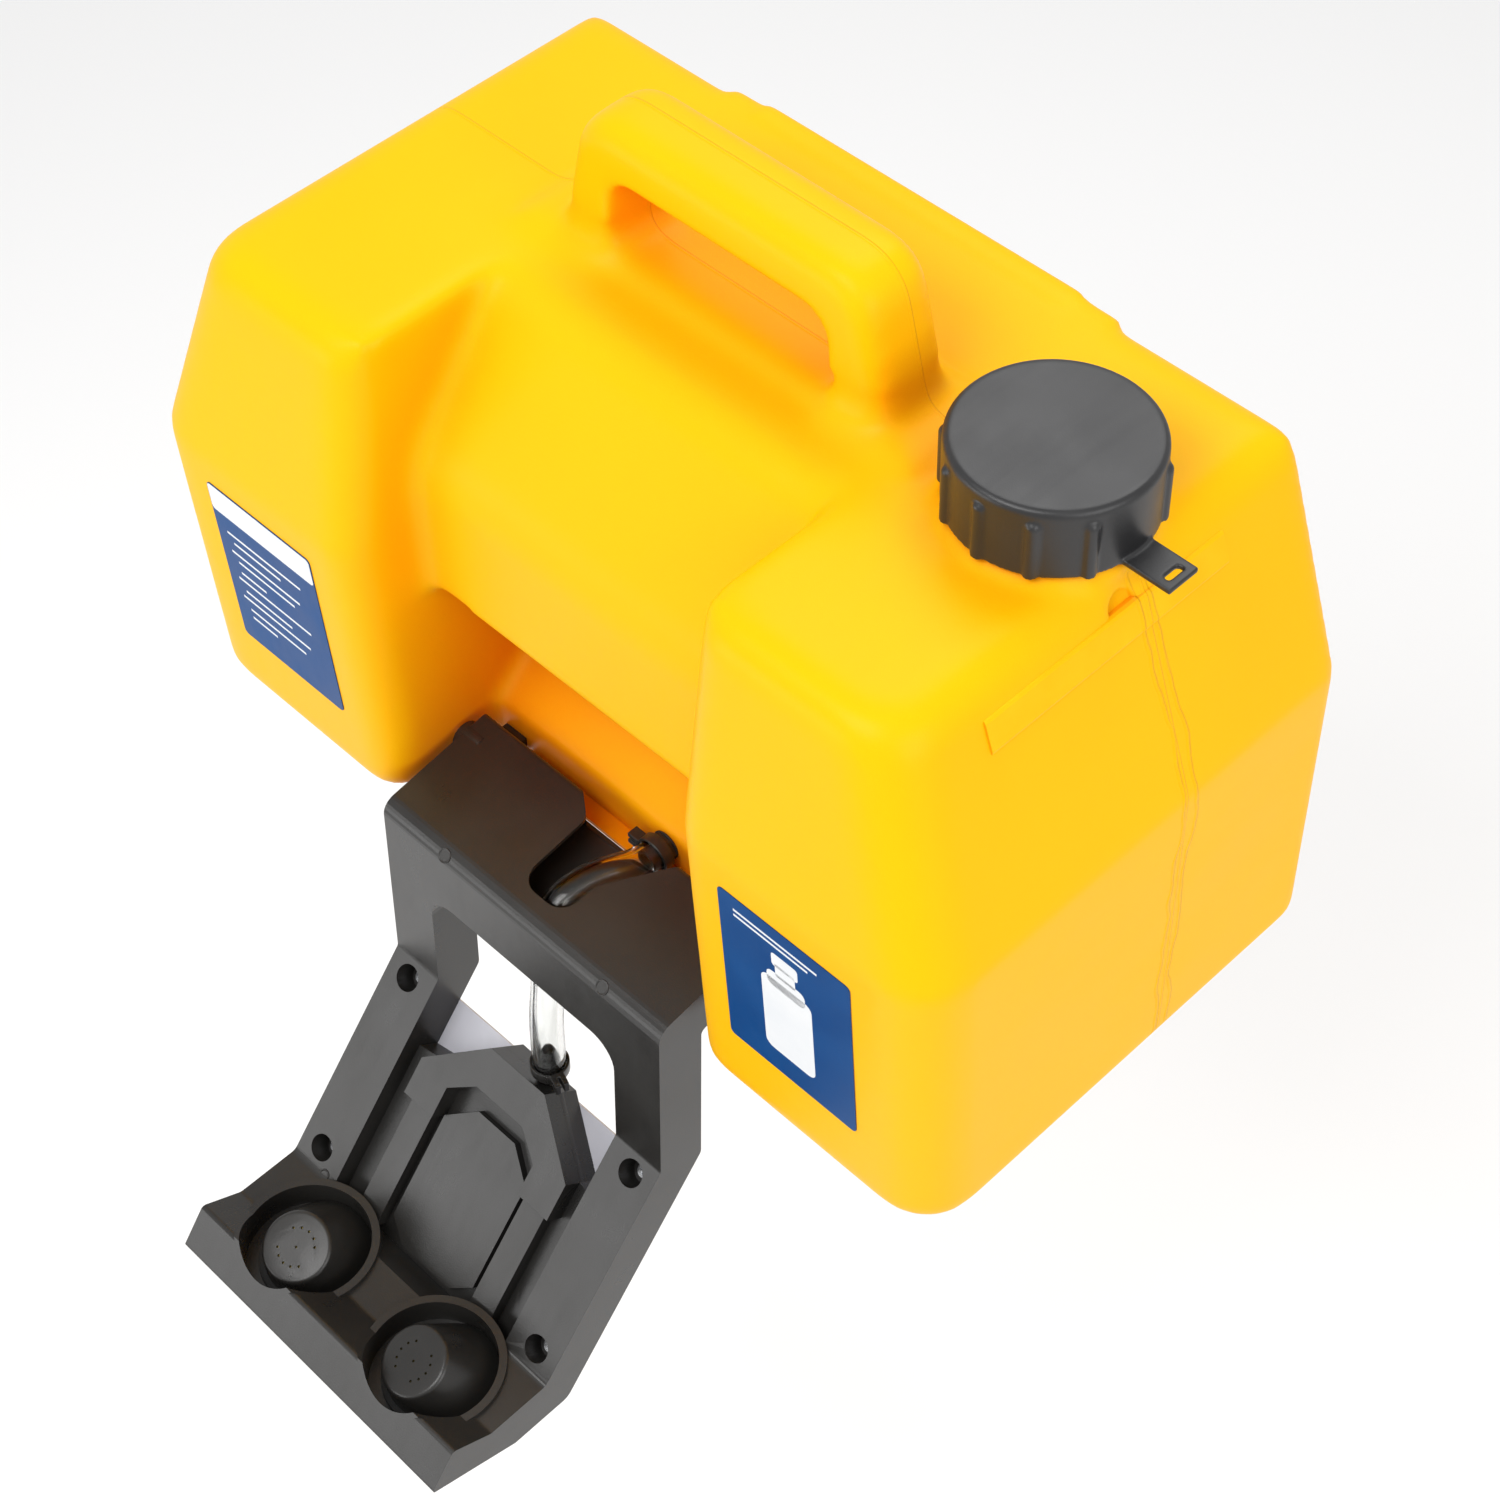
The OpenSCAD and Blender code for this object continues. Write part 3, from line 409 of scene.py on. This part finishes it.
# rubbed and lightened edges
worn, worn_in, worn_out = shader_group(
    "worn_edges", {"Start": 0.52, "End": 0.60}, {"Mask": "NodeSocketFloat"})
sharpness = node(worn, "NewGeometry").outputs["Pointiness"]
on_edge = ramp(worn, sharpness, worn_in["Start"], worn_in["End"])
rubbed_here = ramp(worn, noise(worn, 70.0, 4), 0.35, 0.65)
worn.links.new(combine(worn, "MULTIPLY", on_edge, rubbed_here), worn_out["Mask"])


def use(tree, group, **values):
    made = node(tree, "Group", node_tree=group)
    for socket, value in values.items():
        made.inputs[socket.replace("_", " ")].default_value = value
    return made.outputs


def bump(tree, height, depth, distance=0.001, after=None):
    made = node(tree, "Bump")
    made.inputs["Strength"].default_value = depth
    made.inputs["Distance"].default_value = distance
    tree.links.new(height, made.inputs["Height"])
    if after is not None:
        tree.links.new(after, made.inputs["Normal"])
    return made.outputs["Normal"]


def new_finish(name):
    material = bpy.data.materials.new(name)
    material.use_nodes = True
    return material, material.node_tree, material.node_tree.nodes["Principled BSDF"]


def coat(piece, material):
    """Gives a piece its finish, in every slot it has."""
    if not piece.material_slots:
        piece.data.materials.append(material)
    for place in piece.material_slots:
        place.material = material


# The halves of the mould leave a line round the tank through handle and neck; on
# the ends its trimmed flash wanders in two ridges. Where two walls face each other
# an occlusion mask paints the yellow a deeper orange: painted shade and bounced light.
yellow, tree, shader = new_finish("yellow_polyethylene")
axes = node(tree, "SeparateXYZ")
tree.links.new(node(tree, "TexCoord").outputs["Object"], axes.inputs[0])
wander = ramp(tree, noise(tree, 16.0, 3), 0.3, 0.7, -0.004, 0.004)
on_end = ramp(tree, combine(tree, "ABSOLUTE", axes.outputs["X"], 0), 0.232, 0.242)
from_seam = combine(tree, "ADD", axes.outputs["Y"], seam_deep - 0.004)
seam = ramp(tree, combine(tree, "ABSOLUTE", from_seam, 0), 0.0004, 0.0011, 1, 0)
drift = combine(tree, "MULTIPLY_ADD", wander, 1.0, from_seam)
from_ridge = combine(tree, "SUBTRACT", combine(tree, "ABSOLUTE", drift, 0), 0.0045)
ridges = ramp(tree, combine(tree, "ABSOLUTE", from_ridge, 0), 0.0004, 0.0016, 1, 0)
flash = combine(tree, "MULTIPLY", ridges, on_end)
wear = use(tree, handled, Fresh=(0.95, 0.47, 0.0005, 1), Handled=(0.97, 0.49, 0.001, 1), Patch_Scale=6.0,
           Shiny=0.34, Dull=0.44)
lightened = use(tree, worn, Start=0.53, End=0.64)
# painted shade: an occlusion mask turns the yellow deep orange between facing walls, in the recess and under
# the handle
painted_shade_occlusion = node(tree, "AmbientOcclusion", samples=8)
painted_shade_occlusion.inputs["Distance"].default_value = 0.13
painted_shade_mask = ramp(tree, painted_shade_occlusion.outputs["AO"], 0.30, 0.78, 1, 0)
pale_edge, painted_shade_orange = (1.0, 0.58, 0.01, 1), (0.84, 0.24, 0.002, 1)
edge_share = combine(tree, "MULTIPLY", lightened["Mask"], 0.3)
on_edges = mix_colours(tree, edge_share, wear["Colour"], pale_edge)
tree.links.new(mix_colours(tree, painted_shade_mask, on_edges, painted_shade_orange), shader.inputs["Base Color"])
tree.links.new(wear["Roughness"], shader.inputs["Roughness"])
surface = use(tree, skin, Fine_Scale=700.0, Wave_Scale=26.0, Wave_Share=0.6)
lines = combine(tree, "MAXIMUM", combine(tree, "MULTIPLY", seam, 0.6), flash)
grained = bump(tree, surface["Height"], 0.10, 0.0006)
tree.links.new(bump(tree, lines, 0.8, 0.0009, grained), shader.inputs["Normal"])
shader.inputs["Subsurface Weight"].default_value = 0.06
shader.inputs["Subsurface Radius"].default_value = (0.010, 0.004, 0.001)
shader.inputs["Specular IOR Level"].default_value = 0.09
tank.data.materials.clear()
coat(tank, yellow)
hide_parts("tank_shell")
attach(tank, "tank")


# ---- Filler cap ----------------------------------------------------------------
# An injection moulded black cap that screws on the neck: eleven gripping ribs
# and, in the twelfth place, a slotted tab for a tether.
cap_low, cap_high = tank_high + 0.006, tank_high + 0.046
cap_round = 0.050


def cap_body():
    rib_ring, rib_radius, rib_high = cap_round - 0.0012, 0.0037, 0.033
    tab_half, slot_half, inside_radius = 0.010, 0.005, 0.0425
    middle_high = (cap_low + cap_high) / 2
    piece = drum("filler_cap", (neck_x, -seam_deep, middle_high), cap_round, cap_high - cap_low, 96)
    round_edges(piece, lambda p, d: p.z > cap_high - 0.0005 and abs(d.z) < 0.1, 0.0035, 4)
    finish_edit(piece)
    ribs = []
    for step in range(1, 12):
        turn = step * math.tau / 12
        rib_x, rib_y = neck_x + rib_ring * math.cos(turn), -seam_deep + rib_ring * math.sin(turn)
        rib = drum("rib", (rib_x, rib_y, cap_low + 0.0165), rib_radius, rib_high, 20)
        round_edges(rib, lambda p, d: p.z > cap_low + 0.0325 and abs(d.z) < 0.1, 0.0030, 4)
        ribs.append(finish_edit(rib))
    tab = block("tab", (neck_x + 0.035, -seam_deep - tab_half, cap_low),
                (neck_x + 0.076, -seam_deep + tab_half, cap_low + 0.003))
    for side in (-1, 1):
        slice_off((neck_x + 0.063, -seam_deep + side * tab_half, 0), (0.0033, side * 0.013, 0))
    round_edges(tab, lambda p, d: abs(d.z) > 0.9 and p.x > neck_x + 0.07, 0.002, 3)
    finish_edit(tab)
    hole = block("hole", (neck_x + 0.068, -seam_deep - slot_half, 0.3),
                 (neck_x + 0.0718, -seam_deep + slot_half, 0.4))
    finish_edit(hole)
    cut(tab, hole)
    whole = weld_together("filler_cap_skin", piece, tab, *ribs)
    inside = drum("inside", (neck_x, -seam_deep, cap_low + 0.018), inside_radius, 0.038, 64)
    finish_edit(inside)
    modify(whole, "REMESH", mode="VOXEL", voxel_size=0.0009)
    cut(whole, inside)
    modify(whole, "SMOOTH", factor=0.5, iterations=4)
    bpy.ops.object.shade_smooth()
    return whole


cap = cap_body()
cap_black, tree, shader = new_finish("black_polypropylene")
wear = use(tree, handled, Fresh=(0.014, 0.014, 0.015, 1), Handled=(0.020, 0.020, 0.021, 1), Patch_Scale=22.0,
           Shiny=0.34, Dull=0.46)
rubbed = use(tree, worn, Start=0.54, End=0.66)
rubbed_grey = (0.050, 0.050, 0.052, 1)
edge_share = combine(tree, "MULTIPLY", rubbed["Mask"], 0.5)
tree.links.new(mix_colours(tree, edge_share, wear["Colour"], rubbed_grey), shader.inputs["Base Color"])
tree.links.new(wear["Roughness"], shader.inputs["Roughness"])
surface = use(tree, skin, Fine_Scale=1600.0, Wave_Scale=60.0, Wave_Share=0.25)
tree.links.new(bump(tree, surface["Height"], 0.12, 0.0004), shader.inputs["Normal"])
coat(cap, cap_black)
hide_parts("filler_cap")
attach(cap, "cap")


# ---- Labels --------------------------------------------------------------------
# Printed vinyl on the fronts of the lobes: blue, the left one with a white
# heading, the right one with a bottle; plain bars stand where print would be.
lean = math.atan((tank_mid_deep - tank_low_deep) / crease_high)
label_high = 0.122


def label(name, node_name, ground, ink, marks):
    """A rounded sheet and the marks printed on it, drawn upright and then leaned on the lobe."""
    low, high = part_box(node_name)
    left, right = low[0], high[0]
    sheet = block(name, (left, -0.0006, 0), (right, -0.0001, label_high))
    round_edges(sheet, lambda p, d: abs(d.y) > 0.9, 0.003, 4)
    finish_edit(sheet)
    coat(sheet, ground)
    prints = []
    for x0, z0, x1, z1, corner in marks:
        mark = block("mark", (left + x0, -0.0007, z0), (left + x1, -0.0002, z1))
        if corner:
            round_edges(mark, lambda p, d: abs(d.y) > 0.9, corner, 4)
        coat(finish_edit(mark), ink)
        prints.append(mark)
    whole = weld_together(name, sheet, *prints)
    turn = Matrix.Rotation(lean, 4, "X")
    up_the_lobe = Matrix.Translation((0, 0, (crease_high - label_high) * 0.75))
    whole.data.transform(Matrix.Translation((0, -tank_low_deep, 0)) @ turn @ up_the_lobe)
    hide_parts(node_name)
    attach(whole, "tank")
    return whole


def print_finish(name, colour, faded):
    material, tree, shader = new_finish(name)
    wear = use(tree, handled, Fresh=colour, Handled=faded, Patch_Scale=30.0, Shiny=0.30, Dull=0.42)
    tree.links.new(wear["Colour"], shader.inputs["Base Color"])
    tree.links.new(wear["Roughness"], shader.inputs["Roughness"])
    surface = use(tree, skin, Fine_Scale=1200.0, Wave_Scale=90.0, Wave_Share=1.0)
    tree.links.new(bump(tree, surface["Height"], 0.06, 0.0003), shader.inputs["Normal"])
    shader.inputs["Specular IOR Level"].default_value = 0.12
    return material


blue_ink = print_finish("blue_print", (0.001, 0.050, 0.190, 1), (0.001, 0.060, 0.215, 1))
white_ink = print_finish("white_print", (0.80, 0.81, 0.82, 1), (0.74, 0.76, 0.78, 1))
# each mark is its left, foot, right and top on the label, and the radius of its corners
row_step, pair_gap = 0.0065, 0.002
rows = [(0.009, 0.070), (0.013, 0.052), (0.009, 0.066), (0.013, 0.060), (0.013, 0.034)]
row_marks = []
for i, (x0, x1) in enumerate(rows * 2):
    row_foot = 0.088 - i * row_step - (i // 2) * pair_gap
    row_top = 0.0896 - i * row_step - (i // 2) * pair_gap
    row_marks.append((x0, row_foot, x1, row_top, 0))
heading = [(0.0005, 0.102, 0.0845, 0.1215, 0.0025)]
left_label = label("left_label_print", "left_label", blue_ink, white_ink, heading + row_marks)
bottle = [(0.026, 0.018, 0.059, 0.080, 0.005), (0.030, 0.074, 0.055, 0.086, 0.004),
          (0.036, 0.084, 0.049, 0.094, 0.001), (0.034, 0.092, 0.051, 0.102, 0.002)]
two_rows = [(0.010, 0.1115, 0.064, 0.1130, 0), (0.010, 0.1075, 0.058, 0.1090, 0)]
right_label = label("right_label_print", "right_label", blue_ink, white_ink, bottle + two_rows)


# ---- Arm ---------------------------------------------------------------------------
# Two injection moulded black shells, screwed together round the manifold: a box over
# the hose, two rails down to the platform with its wells, and a lip at the end.
arm_black, tree, shader = new_finish("black_nylon_arm")
wear = use(tree, handled, Fresh=(0.015, 0.014, 0.013, 1), Handled=(0.022, 0.021, 0.019, 1), Patch_Scale=14.0,
           Shiny=0.27, Dull=0.38)
tree.links.new(wear["Colour"], shader.inputs["Base Color"])
tree.links.new(wear["Roughness"], shader.inputs["Roughness"])
surface = use(tree, skin, Fine_Scale=1100.0, Wave_Scale=45.0, Wave_Share=0.5)
tree.links.new(bump(tree, surface["Height"], 0.14, 0.0005), shader.inputs["Normal"])


def soften(name, width, material, steps=3):
    """Rounds the edges of a piece of the frame and gives it its finish."""
    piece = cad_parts[name]
    merge = piece.modifiers.new("merge", "WELD")
    merge.merge_threshold = 0.00002
    flats = piece.modifiers.new("flats", "DECIMATE")
    flats.decimate_type = "DISSOLVE"
    flats.angle_limit = math.radians(1.5)
    edges = piece.modifiers.new("edges", "BEVEL")
    edges.width = width
    edges.segments = steps
    edges.limit_method = "ANGLE"
    edges.angle_limit = math.radians(32)
    edges.harden_normals = False
    coat(piece, material)
    return piece


for name in ("arm_front_shell", "arm_rear_shell"):
    soften(name, 0.0016, arm_black, 4)
for name in ("manifold", "manifold_cover", "inlet_clamp", "outlet_clamp", "outlet_fitting"):
    soften(name, 0.0008, arm_black)


# ---- Spray heads -------------------------------------------------------------------------
# Two moulded black cups, leaning to the user and to each other, each standing on its
# rubber ring in a well. Eleven fine jets are drilled through the flat top.
head_tall, head_wall = 0.040, 0.0022
foot_radius, crown_radius = 0.03264, 0.0205
head_lean, head_toe = 24, 7
crown_x, crown_y, crown_z = 0.05059, -0.44338, -0.19811
jet_radius, jet_ring, jet_step = 0.0008, 0.0111, 26
head_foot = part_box("left_head")[0].z


def spray_head(side):
    to_user = Matrix.Rotation(math.radians(head_lean), 3, "X")
    lean_in = to_user @ Matrix.Rotation(math.radians(-head_toe * side), 3, "Y")
    turn = tuple(lean_in.to_euler())
    up = lean_in @ Vector((0, 0, 1))
    crown = Vector((side * crown_x, crown_y, crown_z))

    def cone(name, inset):
        place = crown - up * (head_tall + inset) / 2
        piece = drum(name, place, foot_radius - inset, head_tall - inset, 96, turn, crown_radius - inset)
        slice_off((0, 0, head_foot), (0, 0, -1))
        return piece

    cup = cone("cup", 0)
    round_edges(cup, lambda p, d: (p - crown).dot(up) > -0.0003 and (p - crown).length > 0.015, 0.0020, 4)
    finish_edit(cup)
    hollow = cone("hollow", head_wall)
    finish_edit(hollow)
    places = [(0, 0)]
    for half in (0, 180):
        for step in range(-2, 3):
            around = math.radians(half + (90 if side < 0 else 0) + step * jet_step)
            places.append((jet_ring * math.cos(around), jet_ring * math.sin(around)))
    jets = []
    for x, y in places:
        jet = drum("jet", crown + lean_in @ Vector((x, y, 0)), jet_radius, 0.010, 12, turn)
        jets.append(finish_edit(jet))
    cut(cup, hollow, weld_together("jets", *jets))
    cup.name = "left_spray_head" if side < 0 else "right_spray_head"
    choose(cup)
    bpy.ops.object.shade_smooth_by_angle(angle=math.radians(35))
    coat(cup, arm_black)
    return cup


for side, node_name in ((-1, "left_head"), (1, "right_head")):
    head = spray_head(side)
    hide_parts(node_name)
    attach(head, "arm")


# ---- Marks and rings on the arm --------------------------------------------------------
# The round marks that the mould's pins left on the box's ridge and on a rail, and the
# rings and tip of the barb that grip the hose. All are black nylon, part of the arm.
ridge_turn, slope_turn = math.radians(47), math.radians(49.5)
knee = Vector((0, -0.3062, -0.1008))
barb_x, barb_y = 0.012, -0.299


def on_slope(across, down):
    """A point on the rails' face: across it and down it from the knee."""
    return Vector((across, knee.y - down * math.cos(slope_turn), knee.z - down * math.sin(slope_turn)))


def pin_mark(place, turn, radius=0.0042):
    mark = drum("pin_mark", place, radius, 0.0012, 28, turn)
    outward = Matrix.Rotation(turn[0], 3, "X") @ Vector((0, 0, 1))
    bpy.ops.mesh.select_all(action="DESELECT")
    bpy.ops.object.mode_set(mode="OBJECT")
    for face in mark.data.polygons:
        face.select = face.normal.dot(outward) > 0.9
    bpy.ops.object.mode_set(mode="EDIT")
    bpy.ops.mesh.select_mode(type="FACE")
    bpy.ops.mesh.inset(thickness=0.0006, depth=0)
    bpy.ops.mesh.inset(thickness=0.0003, depth=-0.0003)
    return finish_edit(mark)


marks = [pin_mark((x, -0.2994, 0.0172), (ridge_turn, 0, 0)) for x in (-0.059, 0.064)]
marks.append(pin_mark(on_slope(-0.082, 0.142), (slope_turn, 0, 0), 0.0036))
pin_marks = weld_together("pin_marks", *marks)
rings = []
for step in range(5):
    ring = drum("ring", (barb_x, barb_y, -0.1085 + step * 0.0036), 0.0061, 0.0030, 32, top=0.0052)
    rings.append(finish_edit(ring))
tip = drum("tip", (barb_x, barb_y, -0.0905), 0.0052, 0.004, 32, top=0.0036)
rings.append(finish_edit(tip))
barb_rings = weld_together("barb_rings", *rings)
for piece in (pin_marks, barb_rings):
    modify(piece, "BEVEL", width=0.00025, segments=2, limit_method="ANGLE")
    coat(piece, arm_black)
    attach(piece, "arm")


# ---- Hose ----------------------------------------------------------------------------
# Clear flexible vinyl hose from the outlet in the tank's foot, over the box's
# floor and down through the window to the manifold's barb.
# The route is in millimetres.
hose_thick = 0.019
hose_wall = 0.0032
hose_route = [(20, -215, 17), (20, -229, 17), (17, -237, 17), (12, -245, 17), (8, -255, 16),
              (5, -266, 14), (4, -276, 10), (4, -283, 3), (5, -288, -7), (7, -290, -18),
              (8, -290.5, -28), (9.5, -292.5, -42), (11, -296.5, -57), (12, -299, -74), (12, -299, -112)]
path = bpy.data.curves.new("hose", "CURVE")
path.dimensions = "3D"
path.resolution_u = 6
path.bevel_depth = hose_thick / 2 - hose_wall / 2
path.bevel_resolution = 8
line = path.splines.new("NURBS")
line.points.add(len(hose_route) - 1)
for point, (x, y, z) in zip(line.points, hose_route):
    point.co = (x / 1000, y / 1000, z / 1000, 1)
line.order_u = 4
line.use_endpoint_u = True
hose = bpy.data.objects.new("clear_hose", path)
bpy.context.collection.objects.link(hose)
choose(hose)
bpy.ops.object.convert(target="MESH")
hose = bpy.context.object
modify(hose, "SOLIDIFY", thickness=hose_wall, offset=0)
bpy.ops.object.shade_smooth()
vinyl, tree, shader = new_finish("clear_vinyl")
shader.inputs["Base Color"].default_value = (0.96, 0.97, 0.96, 1)
shader.inputs["Transmission Weight"].default_value = 1.0
shader.inputs["IOR"].default_value = 1.33
tree.links.new(ramp(tree, noise(tree, 60.0, 3), 0.3, 0.7, 0.04, 0.14), shader.inputs["Roughness"])
tree.links.new(bump(tree, noise(tree, 90.0, 3, (1, 1, 0.3)), 0.10, 0.0004), shader.inputs["Normal"])
coat(hose, vinyl)
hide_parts("hose")
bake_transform(hose)


# ---- Metal, rubber and small parts -------------------------------------------------------
# Bright metal for screws, pins, rivets and strainer, rubber for the washer, seals and
# gasket, nylon for bushes and nut, foam for the filters, and the pale sign plate that
# shows through the window.
def plain_finish(name, fresh, used, shiny, dull, metal=0.0, depth=0.08):
    material, tree, shader = new_finish(name)
    wear = use(tree, handled, Fresh=fresh, Handled=used, Patch_Scale=40.0, Shiny=shiny, Dull=dull)
    tree.links.new(wear["Colour"], shader.inputs["Base Color"])
    tree.links.new(wear["Roughness"], shader.inputs["Roughness"])
    shader.inputs["Metallic"].default_value = metal
    surface = use(tree, skin, Fine_Scale=1500.0, Wave_Scale=120.0, Wave_Share=0.4)
    tree.links.new(bump(tree, surface["Height"], depth, 0.0004), shader.inputs["Normal"])
    return material


zinc = plain_finish("bright_zinc", (0.80, 0.81, 0.83, 1), (0.62, 0.63, 0.66, 1), 0.16, 0.34, 1.0)
rubber = plain_finish("black_rubber", (0.018, 0.018, 0.018, 1), (0.030, 0.029, 0.028, 1), 0.6, 0.8)
red_rubber = plain_finish("red_rubber", (0.22, 0.035, 0.02, 1), (0.26, 0.05, 0.03, 1), 0.55, 0.75)
nylon = plain_finish("natural_nylon", (0.72, 0.70, 0.62, 1), (0.66, 0.63, 0.54, 1), 0.35, 0.5)
foam = plain_finish("filter_foam", (0.52, 0.40, 0.10, 1), (0.42, 0.31, 0.07, 1), 0.85, 0.95, 0.0, 0.6)
board = plain_finish("pale_board", (0.66, 0.66, 0.72, 1), (0.60, 0.60, 0.66, 1), 0.35, 0.5)
for material, names in ((zinc, ("pivot_pins", "arm_screws", "sign_rivets", "strainer")),
                        (rubber, ("outlet_washer", "head_seals")),
                        (red_rubber, ("cap_gasket",)),
                        (nylon, ("pivot_bushes", "outlet_nut")),
                        (foam, ("left_filter", "right_filter")),
                        (board, ("sign_plate",))):
    for name in names:
        soften(name, 0.0002, material, 2)
